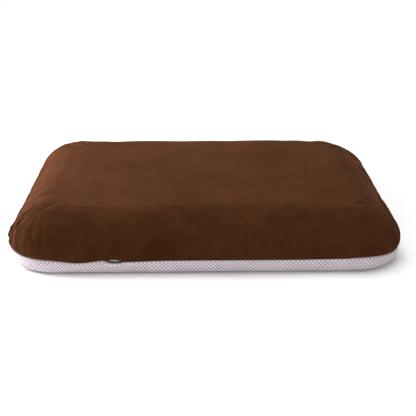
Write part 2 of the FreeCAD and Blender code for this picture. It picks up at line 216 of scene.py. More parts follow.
def zip_zone(plan):
    """Two shares of each loop point: in the front slot, and parted round the slider."""
    x, front = plan.rim[:, 0], plan.rim[:, 1] < -HALF_Y + 1
    zone = smooth(SLOT_START - 6, SLOT_START + 4, x) * smooth(SLOT_END + 6, SLOT_END - 4, x)
    parted = smooth(SLOT_START - 5, SLOT_START + 2, x) * smooth(SLIDER_END + 7, SLIDER_END, x)
    return zone * front, parted * front


def walked(insets, heights):
    """Distance along each profile from its first ring."""
    steps = np.hypot(np.diff(insets, axis=0), np.diff(heights, axis=0))
    return np.concatenate([np.zeros((1, insets.shape[1])), np.cumsum(steps, axis=0)])


# ---------------------------------------------------------------- soft shapes
SHOULDER_REACH = 64  # how far in from the rim the shoulder becomes the flat top
SHOULDER_POWER = 1.62  # 2 is an ellipse, and less is a softer shoulder
FLAP_PARTING = 3.4  # how far the flap rises beside the slider's home
BAND_PARTING = 2.6  # and how far the band's edge drops there
FOLD_MOST, PRESSED_MOST, PUCKER_MOST = 4.0, 2.6, 2.2


def hump(x, middle, spread):
    return np.exp(-((x - middle) / spread) ** 2)


def seam_sag(x, y):
    """How far the seam hangs below or rises above its drawn height, from place in plan."""
    front, right = smooth(-0.6, -1.0, y / HALF_Y), smooth(0.72, 1.0, x / HALF_X)
    sag = -6.4 * hump(x, -228, 36) * front + 1.4 * hump(x, 296, 30) * front
    back_wave = 1.2 * smooth(0.75, 1.0, y / HALF_Y) * np.sin(x / 70)
    return sag - 5.5 * right * hump(y, -205, 60) + back_wave


def flap_drop(x):
    """How far the zip's flap hangs below the seam's level: most near the slider's home."""
    return 2.4 * smooth(-60, -150, x) - 1.3 * smooth(150, 262, x)


def end_shift(x):
    """The seam sits further out round the two ends than along the front and back."""
    return 2.2 * smooth(0.72, 0.98, np.abs(x) / HALF_X)


def fullness(x, y):
    """Outward swell and extra height of the shoulder, where the stuffing is uneven."""
    right, back = smooth(0.55, 1.0, x / HALF_X), y / HALF_Y
    swell = 9.0 * right * hump(back, 0.95, 0.42) + 3.5 * right * hump(back, 0.1, 0.6)
    swell += 2.5 * smooth(0.8, 1.0, x / HALF_X) * hump(back, -0.85, 0.2)
    left, far = smooth(0.5, 0.9, -x / HALF_X), hump(back, 1.0, 0.4)
    lift = -9.0 * right * far + 2.6 * left * far
    return swell, lift - 2.0 * smooth(0.3, 1.0, x / HALF_X) * smooth(0.2, 1.0, back)


def broad_swell(x, y, seed, size, amount):
    """A slow random swell, the same each run."""
    local = np.random.default_rng(seed)
    total = np.zeros_like(np.asarray(x, float))
    waves = 7
    for _ in range(waves):
        angle, phase = local.uniform(0, math.tau, 2)
        wave = math.tau / (size * local.uniform(0.6, 1.6))
        total += np.sin((x * math.cos(angle) + y * math.sin(angle)) * wave + phase)
    return total / waves * 2 * amount


class Creases:
    """Folds drawn on the cover's side: each runs from the seam up, in run and rise."""

    def __init__(self, plan):
        self.plan = plan
        self.folds = []

    def at(self, x, y):
        """The run of the loop point nearest to a place in plan."""
        away = np.hypot(self.plan.rim[:, 0] - x, self.plan.rim[:, 1] - y)
        return self.plan.run[np.argmin(away)]

    def corner(self, side_x, side_y):
        """The run of the middle of a corner, named by its two signs."""
        return self.at(side_x * (HALF_X - CORNER_MIDDLE), side_y * (HALF_Y - CORNER_MIDDLE))

    def add(self, run, lean, low, high, width, depth):
        """One fold; depth is below 0 for a crease and above 0 for a ridge."""
        self.folds.append((run, lean, low, high, width, depth))

    def depth(self, run, rise, most):
        """Depth at places on the cover's side, never past most, so no fold reaches the pad."""
        total = np.zeros(np.broadcast(run, rise).shape)
        half = self.plan.around / 2
        for start, lean, low, high, width, depth in self.folds:
            along = np.clip((rise - low) / (high - low), -0.6, 1.25)
            middle = start + lean * along
            across = (run - middle + half) % self.plan.around - half
            spread = width * (0.75 + 0.8 * np.clip(along, 0, 1))
            fade = smooth(1.2, 0.55, along) * smooth(-0.6, 0.1, along)
            ratio = (across / spread) ** 2
            total += depth * fade * (1 - 0.9 * ratio) * np.exp(-ratio)
        return most * np.tanh(total / most)


def cover_creases(plan, seed, narrow, deep):
    """Gathers round the corners and up the short sides, faint along the front and back.

    The folds of the short sides lean towards the back as they rise, more on the right.
    """
    local = np.random.default_rng(seed)
    creases = Creases(plan)
    corners = ((-1, -1, 12, 0.35), (1, -1, 12, 0.5), (1, 1, 12, 0.9), (-1, 1, 14, 1))
    for side_x, side_y, count, front in corners:
        middle = creases.corner(side_x, side_y)
        towards = side_x * -side_y
        for n in range(count):
            share = n / (count - 1)
            place = towards * (share * 170 - 65 + local.uniform(-6, 6))
            low = local.uniform(-4, 34)
            fainter = front + (1 - front) * smooth(0.2, 0.6, share)
            creases.add(middle + place, side_x * local.uniform(-4, 30), low,
                        low + local.uniform(30, 70), local.uniform(4, 8) * narrow,
                        -local.uniform(1.6, 3.6) * deep * fainter)
    short_side, long_side = 15, 13
    for side, lean_low, lean_high in ((-1, 4, 38), (1, 18, 52)):
        for n in range(short_side):
            y = -STRAIGHT_Y + (n + 0.5) / short_side * 2 * STRAIGHT_Y + local.uniform(-9, 9)
            low = local.uniform(2, 42)
            creases.add(creases.at(side * HALF_X, y), side * local.uniform(lean_low, lean_high),
                        low, low + local.uniform(36, 65), local.uniform(6, 9.5) * narrow,
                        -local.uniform(1.3, 2.8) * deep * (1.15 + 0.2 * side))
    for side in (-1, 1):
        for n in range(long_side):
            x = -STRAIGHT_X + (n + 0.5) / long_side * 2 * STRAIGHT_X + local.uniform(-12, 12)
            creases.add(creases.at(x, side * HALF_Y), local.uniform(-14, 14),
                        local.uniform(-2, 6), local.uniform(18, 40), local.uniform(8, 14),
                        -local.uniform(0.25, 0.6) * deep)
    low_corner = creases.at(-HALF_X, -STRAIGHT_Y - 12)
    for step, depth in ((0, -1.5), (14, 1.1), (28, -1.2)):
        creases.add(low_corner - step, 30, 6, 62, 8 * narrow, depth * deep)
    return creases


def cover_profile(plan):
    """Insets, heights and rise from the seam of the top cover's rings, outward then down."""
    zone, parted = zip_zone(plan)
    power = 2 / SHOULDER_POWER
    angle = np.linspace(math.pi / 2, 0, 20)[1:]
    insets = [plan.inner - (plan.inner - SHOULDER_REACH) * t for t in (0.5, 1.0)]
    heights = [HEIGHT, HEIGHT]
    for a in angle:
        insets.append(SHOULDER_REACH * (1 - math.cos(a) ** power))
        heights.append(WIDEST_Z + (HEIGHT - WIDEST_Z) * math.sin(a) ** power)
    insets = [np.full(plan.count, d) for d in insets]
    heights = [np.full(plan.count, z) for z in heights]
    lip = (LIP_HEIGHT ** 2 + SEAM_INSET ** 2) / (2 * SEAM_INSET)
    flap_low = SEAM_Z - 0.3 + FLAP_PARTING * parted - flap_drop(plan.rim[:, 0])
    for t in (0.25, 0.5, 0.72, 0.9, 1.0):
        fall = LIP_HEIGHT * t
        plain_d = lip - math.sqrt(lip ** 2 - fall ** 2)
        flap_z = WIDEST_Z - (WIDEST_Z - flap_low) * t
        insets.append(plain_d * (1 - zone) + 2.2 * t * zone)
        heights.append((WIDEST_Z - fall) * (1 - zone) + flap_z * zone)
    inside_z = np.maximum(SEAM_Z + 5.3, flap_low + 0.9)
    plain = ((5.7, -0.5), (6.6, -0.3), (7.4, 0.5), (9.0, 0.9), (HEM_INSET, 1.0))
    folded = ((2.9, flap_low - 0.7), (3.7, flap_low - 0.5), (4.3, flap_low + 0.4),
              (5.2, inside_z), (HEM_INSET, inside_z))
    for (plain_d, plain_z), (fold_d, fold_z) in zip(plain, folded):
        insets.append(plain_d * (1 - zone) + fold_d * zone)
        heights.append((SEAM_Z + plain_z) * (1 - zone) + fold_z * zone)
    insets, heights = np.array(insets), np.array(heights)
    swell, lift = fullness(*plan.rim.T)
    shoulder = smooth(SEAM_Z, WIDEST_Z + 8, heights) * smooth(SHOULDER_REACH, 0, insets)
    hollow = smooth(WIDEST_Z, WIDEST_Z + 25, heights) * smooth(SHOULDER_REACH + 14, 30, insets)
    insets = insets - swell * shoulder
    heights = heights + lift * hollow
    shift = end_shift(plan.rim[:, 0]) * smooth(WIDEST_Z, SEAM_Z + 4, heights)
    insets = insets - shift * smooth(10.5, 7, insets)
    sagging = smooth(WIDEST_Z + 16, SEAM_Z + 3, heights)
    heights = heights + seam_sag(*plan.rim.T) * sagging * (1 - zone)
    down = walked(insets, heights)
    return insets, heights, down[-1 - len(plain)] - down


def outward(plan, insets, heights):
    """The outward direction of each ring point, from the profile's own slope."""
    slope_d, slope_z = np.gradient(insets, axis=0), np.gradient(heights, axis=0)
    size = np.hypot(slope_d, slope_z) + 1e-9
    side, up = -slope_z / size, -slope_d / size
    return np.stack([plan.out[:, 0] * side, plan.out[:, 1] * side, up], -1)


def crown(x, y):
    """Height of the top panel: a low dome with a slow swell."""
    bow = np.clip(1 - (x / HALF_X) ** 2, 0, 1) * np.clip(1 - (y / HALF_Y) ** 2, 0, 1)
    return HEIGHT + 2.5 * bow ** 0.5 + broad_swell(x, y, 3, 260, 0.9) * smooth(0, 0.3, bow)


def top_cover():
    """The cover before the cloth settles, with each point's hold and rise above the seam."""
    plan = Plan(inner=74, step=6.3, corner_cells=16)
    insets, heights, rise = cover_profile(plan)
    creases = cover_creases(plan, 5, 1.0, 1.1)
    normal = outward(plan, insets, heights)
    soft = smooth(-2, 8, rise)
    move = creases.depth(plan.run[None, :], rise, FOLD_MOST) * soft
    swell = broad_swell(plan.rim[:, 0], plan.rim[:, 1], 8, 170, 1.1)
    move += swell * soft * smooth(120, 60, rise)
    points = plan.surface(insets, heights, crown)
    start = plan.shape[0] * plan.shape[1]
    rings = points[start:].reshape(len(insets), plan.count, 3)
    top = crown(rings[..., 0], rings[..., 1]) - HEIGHT
    rings[..., 2] += top * smooth(SHOULDER_REACH * 0.3, SHOULDER_REACH, insets)
    rings += normal * move[..., None]
    obj = add_mesh("plush_cover", points, plan.faces(len(insets)))
    pinned = np.r_[np.zeros(start), smooth(12, 3, rise).ravel()]
    return obj, plan, pinned, start, rise


def inflate(obj, pinned, weights, frames, pressure, limit):
    """Lets the cloth settle under pressure, then holds how far each point may have moved."""
    before = points_of(obj)
    for group_name, shares in (("held", pinned), ("loose", weights)):
        group = obj.vertex_groups.new(name=group_name)
        for n in np.nonzero(shares > 0.01)[0]:
            group.add([int(n)], float(shares[n]), "REPLACE")
    cloth = obj.modifiers.new("cloth", "CLOTH")
    settings = cloth.settings
    settings.quality = 6
    settings.mass = 0.25
    settings.air_damping = 2
    settings.tension_stiffness = 25
    settings.compression_stiffness = 25
    settings.shear_stiffness = 8
    settings.bending_stiffness = 0.35
    settings.use_pressure = True
    settings.uniform_pressure_force = pressure
    settings.effector_weights.gravity = 0
    settings.vertex_group_mass = "held"
    settings.pin_stiffness = 1
    settings.vertex_group_shrink = "loose"
    settings.shrink_min = 0
    settings.shrink_max = -0.07
    scene = bpy.context.scene
    for number in range(1, frames + 1):
        scene.frame_set(number)
    apply_modifiers(obj)
    scene.frame_set(1)
    move = points_of(obj) - before
    size = np.linalg.norm(move, axis=1, keepdims=True)
    away = np.c_[before[:, :2] - core_of(before), np.full(len(before), 30.0)]
    inward, inward_limit = (move * away).sum(1) < 0, 2.2
    allowed = np.where(inward, np.minimum(limit, inward_limit), limit)
    move *= np.minimum(1, allowed[:, None] / np.maximum(size, 1e-6))
    set_points(obj, before + move)
    obj.vertex_groups.clear()


def press_folds(obj, plan, creases):
    """Presses finer folds into a cover that is already settled, along its own normals."""
    points = points_of(obj)
    core = core_of(points)
    out = points[:, :2] - core
    reach = np.linalg.norm(out, axis=1)
    out /= np.maximum(reach, 1e-6)[:, None]
    rim = core + out * CORNER
    around = np.arctan2(plan.rim[:, 1], plan.rim[:, 0])
    order = np.argsort(around)
    turn = np.arctan2(rim[:, 1], rim[:, 0])
    phase = plan.run / plan.around * math.tau
    cosine, sine = [np.interp(turn, around[order], wave[order], period=math.tau)
                    for wave in (np.cos(phase), np.sin(phase))]
    run = np.arctan2(sine, cosine) % math.tau / math.tau * plan.around
    inset = CORNER - reach
    fall = np.arctan2(points[:, 2] - WIDEST_Z, SHOULDER_REACH - inset)
    rise = 15 + fall * 72
    low = points[:, 2] < WIDEST_Z
    rise[low] = points[low, 2] - SEAM_Z + 1
    outer = smooth(1, 12, rise) * smooth(SHOULDER_REACH + 20, SHOULDER_REACH - 8, inset)
    normals = np.zeros(len(points) * 3)
    obj.data.vertices.foreach_get("normal", normals)
    move = creases.depth(run, rise, PRESSED_MOST) * outer * (reach > 1)
    set_points(obj, points + normals.reshape(-1, 3) * move[:, None])


cover, cover_plan, held, cover_start, cover_rise = top_cover()
side_loose = smooth(0, 12, cover_rise) * smooth(105, 60, cover_rise)
side_limit = 2.0 + 4.0 * smooth(0, 15, cover_rise) * smooth(120, 70, cover_rise)
loose = np.r_[np.zeros(cover_start), side_loose.ravel()]
limit = np.r_[np.full(cover_start, 3.0), side_limit.ravel()]
inflate(cover, held, loose, frames=16, pressure=2.5, limit=limit)
subdivide(cover)
press_folds(cover, cover_plan, cover_creases(cover_plan, 17, 0.85, 0.95))
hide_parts("top_cover")


# ---------------------------------------------------------------- the base cover and its dots
FLOOR_Z = FILM_TOP + 0.1


def base_profile(plan):
    """Insets, heights and walked distance of the base cover's rings, from the floor panel up."""
    zone, parted = zip_zone(plan)
    lowered = BAND_PARTING * parted + 0.9 * zone * flap_drop(plan.rim[:, 0])
    top = SEAM_Z - 0.9 - 0.9 * zone.max()
    ones = np.ones(plan.count)
    foot, foot_in, foot_up = SEAM_INSET - 0.4, 13, 12
    insets = [ones * (plan.inner - 8), ones * (foot + 19), ones * (foot + 15)]
    heights = [ones * FLOOR_Z] * 3
    for turn in np.radians((12, 28, 44, 60, 76, 90)):
        insets.append(ones * (foot + foot_in * (1 - math.sin(turn))))
        heights.append(ones * (FLOOR_Z + foot_up * (1 - math.cos(turn))))
    band = top - 1.5 - FLOOR_Z - foot_up
    for t in (0.16, 0.33, 0.5, 0.67, 0.84, 1.0):
        bow = 0.9 * math.sin(math.pi * t)
        insets.append(foot - bow + 0.4 * t - 1.6 * zone * smooth(0.4, 1, t))
        heights.append(FLOOR_Z + foot_up + band * t - lowered * smooth(0.3, 1, t))
    edge = top - lowered
    inside_z = -4.4 + 2.4 * parted
    plain = ((5.4, -0.6), (6.0, 0.1), (6.9, 0.2), (8.2, 0.0), (HEM_INSET, -0.1))
    folded = ((3.3, -0.9), (3.7, -0.1), (4.4, -0.4), (4.9, inside_z), (HEM_INSET, inside_z))
    for (plain_d, plain_z), (fold_d, fold_z) in zip(plain, folded):
        insets.append(plain_d * (1 - zone) + fold_d * zone)
        heights.append((top + plain_z) * (1 - zone) + (edge + fold_z) * zone)
    insets, heights = np.array(insets), np.array(heights)
    whole = np.where(heights < top - 1, 1, smooth(10.5, 7, insets))
    insets = insets - end_shift(plan.rim[:, 0]) * whole
    raised = seam_sag(*plan.rim.T) * (1 - zone) + 0.9 * (1 - zone)
    heights = heights + raised * np.clip(heights / SEAM_Z, 0, 1) ** 1.5
    return insets, heights, walked(insets, heights)


def base_cover():
    """The non-slip cover, puckered round its corners and faintly all along."""
    plan = Plan(inner=60, step=7, corner_cells=18)
    insets, heights, rise = base_profile(plan)
    local = np.random.default_rng(21)
    puckers = Creases(plan)
    for side_x in (-1, 1):
        for side_y in (-1, 1):
            middle = puckers.corner(side_x, side_y)
            strong = 1.6 if side_x > 0 > side_y else 1
            for share in np.arange(9) / 8:
                puckers.add(middle + (share - 0.5) * 150 + local.uniform(-5, 5),
                            local.uniform(-5, 5) - 7 * (strong - 1), 52, 20,
                            local.uniform(3.5, 5.5), -local.uniform(0.5, 1.2) * strong)
    for _ in range(40):
        puckers.add(local.uniform(0, plan.around), local.uniform(-6, 6), 52, 25,
                    local.uniform(5, 9), -local.uniform(0.15, 0.45))
    middle = smooth(15, 24, rise) * smooth(rise[-5], rise[-5] - 6, rise)
    move = puckers.depth(plan.run[None, :], rise, PUCKER_MOST) * middle
    points = plan.surface(insets, heights, lambda x, y: FLOOR_Z + 0 * x)
    start = plan.shape[0] * plan.shape[1]
    rings = points[start:].reshape(len(insets), plan.count, 3)
    normal = outward(plan, insets, heights)
    normal *= np.sign((normal[..., :2] * plan.out).sum(-1))[..., None] + 1e-9
    rings += normal * move[..., None]
    obj = add_mesh("base_cover", points, plan.faces(len(insets), flip=True))
    return obj, plan, rings.copy(), rise


def dome(radius, height, sides):
    """A low printed dot: rim, shoulder and crown, standing on z 0."""
    angle = np.arange(sides) / sides * math.tau
    ring = np.c_[np.cos(angle), np.sin(angle)]
    points = [np.c_[ring * radius, np.full(sides, -0.05)],
              np.c_[ring * radius * 0.82, np.full(sides, height * 0.72)],
              np.array([[0, 0, height]])]
    faces = []
    for n in range(sides):
        m = (n + 1) % sides
        faces += [[n, m, sides + m, sides + n], [sides + n, sides + m, 2 * sides]]
    return np.concatenate(points), faces


def scatter(name, shape, faces, places, frames):
    """Copies of one small shape, as one mesh: frames are 3x3 matrices, columns x, y, z."""
    count = len(shape)
    points = places[:, None, :] + np.einsum("nij,pj->npi", frames, shape)
    all_faces = [[v + count * n for v in face] for n in range(len(places)) for face in faces]
    return add_mesh(name, points.reshape(-1, 3), all_faces)


def along_path(at_run, run, path):
    """Points at distances along a path of points, whose own distances are run."""
    return np.stack([np.interp(at_run, run, path[:, axis]) for axis in range(3)], -1)


DOT_PITCH = 7.6
DOT_ROW = 3.85
DOT_RADIUS = 1.75
SIDE_DOT_HEIGHT = 0.55


def side_dots(plan, rings, rise):
    """Dots on the band, in staggered rows that follow its surface."""
    number = round(plan.around / DOT_PITCH)
    sample = np.append(plan.run, plan.around)
    places, frames = [], []
    low, high = rise[3].mean(), rise[-6].mean() - 0.5
    mean_rise = rise.mean(1)
    for row in range(int((high - low) / DOT_ROW)):
        level = low + (row + 0.55) * DOT_ROW
        k = np.interp(level, mean_rise, np.arange(len(mean_rise)))
        k0 = min(int(k), len(mean_rise) - 2)
        line = rings[k0] * (1 - (k - k0)) + rings[k0 + 1] * (k - k0)
        upward = rings[k0 + 1] - rings[k0]
        run = (np.arange(number) + (0.5 if row % 2 else 0)) * plan.around / number
        at, up = [along_path(run, sample, np.concatenate([loop, loop[:1]]))
                  for loop in (line, upward)]
        ahead = np.roll(at, -1, 0) - at
        ahead /= np.linalg.norm(ahead, axis=1, keepdims=True)
        normal = np.cross(ahead, up)
        normal /= np.linalg.norm(normal, axis=1, keepdims=True)
        outside = at[:, :2] - core_of(at)
        normal *= np.sign((normal[:, :2] * outside).sum(1))[:, None]
        frames.append(np.stack([ahead, np.cross(normal, ahead), normal], -1))
        places.append(at)
    shape, faces = dome(DOT_RADIUS, SIDE_DOT_HEIGHT, 8)
    places, frames = np.concatenate(places), np.concatenate(frames)
    return scatter("grip_dots_side", shape, faces, places, frames)


def under_dots():
    """Dots under the floor panel, which the bed stands on."""
    across = np.arange(-FILM_HALF_X, FILM_HALF_X, DOT_PITCH)
    places = []
    for row, y in enumerate(np.arange(-FILM_HALF_Y + 3, FILM_HALF_Y - 2, DOT_ROW)):
        x = across + (DOT_PITCH / 2 if row % 2 else 0) + 3
        places.append(np.c_[x, np.full(len(x), y)])
    places = np.concatenate(places)
    reach = np.linalg.norm(places - core_of(places), axis=1)
    places = places[reach < CORNER - FOOT_INSET - 2 * DOT_RADIUS]
    places = np.c_[places, np.full(len(places), FILM_TOP)]
    frames = np.broadcast_to(np.diag([1.0, -1, -1]), (len(places), 3, 3))
    shape, faces = dome(DOT_RADIUS, FILM_TOP, 5)
    return scatter("grip_dots_under", shape, faces, places, frames)


base, base_plan, base_rings, base_rise = base_cover()
side = side_dots(base_plan, base_rings, base_rise)
under = under_dots()
subdivide(base)
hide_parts("bottom_cover")
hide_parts("grip_dots")


# ---------------------------------------------------------------- the removable pad
PAD_LOW = box_mm("liner_bottom")[0][2]
(_, _, PAD_SPLIT), (pad_half_x, _, PAD_HIGH) = box_mm("liner_top")
PAD_INSET = HALF_X - pad_half_x
PAD_ROUND = SHOULDER_REACH + 8
PAD_STEP, PAD_CORNER_CELLS = 9, 10
LINER_GAP = 1.6


def pad_half(plan, name, top, within=0.0):
    """Half of the pad, from its flat face out to its middle line; within shrinks it."""
    bulge, clear = PAD_INSET - 1 + within, PAD_INSET + within
    insets, heights = [], []
    for a in np.linspace(math.pi / 2, 0, 13):
        if top:
            reach, high = PAD_ROUND - bulge, PAD_HIGH - 6 - within - PAD_SPLIT
            insets.append(bulge + reach * (1 - math.cos(a) ** 1.2))
            heights.append(PAD_SPLIT + high * math.sin(a) ** 1.2)
        else:
            reach, high = 26, PAD_SPLIT - 16 - PAD_LOW - within
            lean = math.sin(a) ** 1.1
            insets.append(clear + 0.4 + reach * (1 - math.cos(a)) ** 1.3
                          - 3.4 * (1 - smooth(0, 0.42, lean)))
            heights.append(PAD_SPLIT - (high + 16) * lean)
    run = plan.run[None, :]
    insets = np.array(insets)[:, None] + 0 * run
    heights = np.array(heights)[:, None] + 0 * run
    turn = run / plan.around * math.tau
    waves = 0.5 * np.sin(turn * 61) + 0.4 * np.sin(turn * 37 + 2)
    level = np.linspace(0, 1, len(insets))[:, None]
    insets = insets + waves * (level * 0.8 + 0.1)
    points = plan.surface(insets[1:], heights[1:],
                          lambda x, y: heights[0, 0] + broad_swell(x, y, 14, 140, 0.8) * top)
    return add_mesh(name, points, plan.faces(len(insets) - 1, flip=not top))


def removable_pad():
    """The liner's two halves and the lumpy fibre that fills them."""
    plan = Plan(PAD_ROUND, PAD_STEP, PAD_CORNER_CELLS)
    low_plan = Plan(PAD_INSET + 26.4, PAD_STEP, PAD_CORNER_CELLS)
    top = pad_half(plan, "pad_liner_top", True)
    bottom = pad_half(low_plan, "pad_liner_bottom", False)
    fill = pad_half(plan, "pad_fill", True, within=LINER_GAP)
    fill_low = pad_half(low_plan, "pad_fill_low", False, within=LINER_GAP)
    for obj in (top, bottom):
        subdivide(obj)
    bpy.ops.object.select_all(action="DESELECT")
    for obj in (fill, fill_low):
        obj.select_set(True)
    bpy.context.view_layer.objects.active = fill
    bpy.ops.object.join()
    subdivide(fill)
    local = points_of(fill)
    lumps = broad_swell(local[:, 0], local[:, 1] + local[:, 2], 31, 26, 0.5)
    lumps += broad_swell(local[:, 0] + local[:, 2], local[:, 1], 32, 11, 0.25)
    away = np.c_[local[:, :2] - core_of(local), (local[:, 2] - PAD_SPLIT) * 1.4]
    away /= np.linalg.norm(away, axis=1, keepdims=True) + 1e-9
    set_points(fill, local - away * np.abs(lumps)[:, None])
    return top, bottom, fill


liner_top, liner_bottom, fill = removable_pad()
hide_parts("liner_top")
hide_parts("liner_bottom")
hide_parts("fibre_fill")


# ---------------------------------------------------------------- stitches
def stitch_row(name, path, up, pitch, length, radius, closed):
    """Separate stitches along a path of points, each a short plump lozenge on its cloth."""
    ahead = np.roll(path, -1, 0) - path
    if not closed:
        ahead[-1] = ahead[-2]
    gaps = np.linalg.norm(ahead if closed else ahead[:-1], axis=1)
    far = np.r_[0, np.cumsum(gaps)]
    loop = np.concatenate([path, path[:1]]) if closed else path
    count = int(far[-1] / pitch)
    at_run = (np.arange(count) + 0.5) * far[-1] / count
    at = along_path(at_run, far, loop)
    along = along_path(at_run + 0.5, far, loop) - at
    along /= np.linalg.norm(along, axis=1, keepdims=True) + 1e-9
    lift = np.broadcast_to(np.asarray(up, float), along.shape)
    frames = np.stack([along, np.cross(lift, along), lift], -1)
    sides = 6
    angle = np.arange(sides) / sides * math.tau
    ring = np.c_[np.zeros(sides), np.cos(angle), np.sin(angle)]
    half = length / 2
    levels = ((-half, 0.35), (-half * 0.7, 0.9), (half * 0.7, 0.9), (half, 0.35))
    shape = np.concatenate([ring * radius * size + [x, 0, 0] for x, size in levels])
    loops = np.arange(len(levels) * sides).reshape(-1, sides).tolist()
    faces = [[inner[n], inner[(n + 1) % sides], outer[(n + 1) % sides], outer[n]]
             for inner, outer in zip(loops, loops[1:]) for n in range(sides)]
    faces += [loops[0][::-1], loops[-1]]
    return scatter(name, shape, faces, at, frames)


def loop_path(inset, height):
    plan = Plan(inner=40, step=6, corner_cells=12)
    return np.c_[plan.ring(np.full(plan.count, inset)), np.full(plan.count, height)]


SEAM_THREAD_HALF = 0.25


def all_stitches():
    """Rows of stitches: two along the seam, two along the zip, and one round the liner."""
    thread_low, thread_high = box_mm("seam_thread")
    path = loop_path(HALF_X - thread_high[0] + SEAM_THREAD_HALF, 0)
    along_zip = (path[:, 0] > TAPE_START - 2) & (path[:, 0] < TAPE_END + 2)
    outside = ~((path[:, 1] < -HALF_Y + 15) & along_zip)
    first = np.argmax(outside & ~np.roll(outside, 1))
    path = np.roll(path, -first, 0)[:outside.sum()]
    rows = []
    for name, level, up in (("seam_stitches_upper", thread_high[2] - SEAM_THREAD_HALF, 1),
                            ("seam_stitches_lower", thread_low[2] + SEAM_THREAD_HALF, -1)):
        line = path + [0, 0, level]
        rows.append(stitch_row(name, line, (0, 0, up), 4.0, 3.4, 0.28, False))
    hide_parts("seam_thread")
    for node in ("zip_stitch_upper", "zip_stitch_lower"):
        low, high = box_mm(node)
        middle = (low + high) / 2
        x = np.linspace(low[0], high[0], 60)
        line = np.c_[x, np.full_like(x, middle[1]), np.full_like(x, middle[2])]
        rows.append(stitch_row(node + "_stitches", line, (0, 1, 0), 3.0, 2.5, 0.24, False))
        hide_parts(node)
    ring = loop_path(PAD_INSET - 3.6, PAD_SPLIT)
    rows.append(stitch_row("pad_liner_stitches", ring, (0, 0, 1), 4.5, 3.9, 0.28, True))
    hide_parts("liner_thread")
    return rows


*dark_stitches, pale_stitches = all_stitches()


# ---------------------------------------------------------------- the zip's coils
def coil(node, upper):
    """A nylon coil: a flattened helix whose turns reach across to mesh with the other one."""
    low, high = box_mm(node)
    pitch, wire = 1.25, 0.36
    turns = int((high[0] - low[0] - 1) / pitch)
    per_turn, sides = 10, 5
    steps = turns * per_turn
    t = np.arange(steps + 1) / per_turn * math.tau
    x = low[0] + 0.5 + t / math.tau * pitch
    centre = (low + high) / 2
    half_y, half_z = (high[1] - low[1]) / 2 - wire, (high[2] - low[2]) / 2 - wire
    tooth = 0.12 * (1 if upper else -1)
    flatness = 0.7
    y = centre[1] + half_y * np.sign(np.cos(t)) * np.abs(np.cos(t)) ** flatness
    z = centre[2] + half_z * np.sign(np.sin(t)) * np.abs(np.sin(t)) ** flatness - tooth
    x = x + (pitch / 4 if upper else 0)
    path = np.c_[x, y, z]
    ahead = np.gradient(path, axis=0)
    ahead /= np.linalg.norm(ahead, axis=1, keepdims=True)
    out = path - np.c_[x, np.full_like(x, centre[1]), np.full_like(x, centre[2])]
    out -= (out * ahead).sum(1)[:, None] * ahead
    out /= np.linalg.norm(out, axis=1, keepdims=True)
    side_way = np.cross(ahead, out)
    angle = (np.arange(sides) / sides * math.tau)[None, :, None]
    ring = np.cos(angle) * out[:, None] + np.sin(angle) * side_way[:, None]
    points = path[:, None] + wire * ring
    index = np.arange((steps + 1) * sides).reshape(-1, sides)
    quads = np.stack([index[:-1], np.roll(index[:-1], -1, 1),
                      np.roll(index[1:], -1, 1), index[1:]], -1)
    faces = quads.reshape(-1, 4).tolist() + [index[0].tolist(), index[-1][::-1].tolist()]
    obj = add_mesh(node + "_turns", points.reshape(-1, 3), faces)
    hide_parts(node)
    return obj


coils = [coil("zip_coil_upper", True), coil("zip_coil_lower", False)]


# ---------------------------------------------------------------- the slider and pull
def softened(node, body, width_mm):
    """A copy of a small metal part with its edges rounded, in the part's own place."""
    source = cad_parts[node]
    obj = bpy.data.objects.new(node + "_cast", source.data.copy())
    bpy.context.scene.collection.objects.link(obj)
    merge = obj.modifiers.new("merge", "WELD")
    merge.merge_threshold = 0.00001
    flat = obj.modifiers.new("flat", "DECIMATE")
    flat.decimate_type = "DISSOLVE"
    flat.angle_limit = math.radians(3)
    bevel = obj.modifiers.new("bevel", "BEVEL")
    bevel.width = width_mm * 0.001
    bevel.segments = 3
    bevel.limit_method = "ANGLE"
    bevel.angle_limit = math.radians(35)
    apply_modifiers(obj)
    shade_smooth(obj.data)
    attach(obj, body)
    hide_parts(node)
    return obj


slider = softened("zip_slider", "slider", 0.22)
pull = softened("zip_pull", "pull", 0.25)


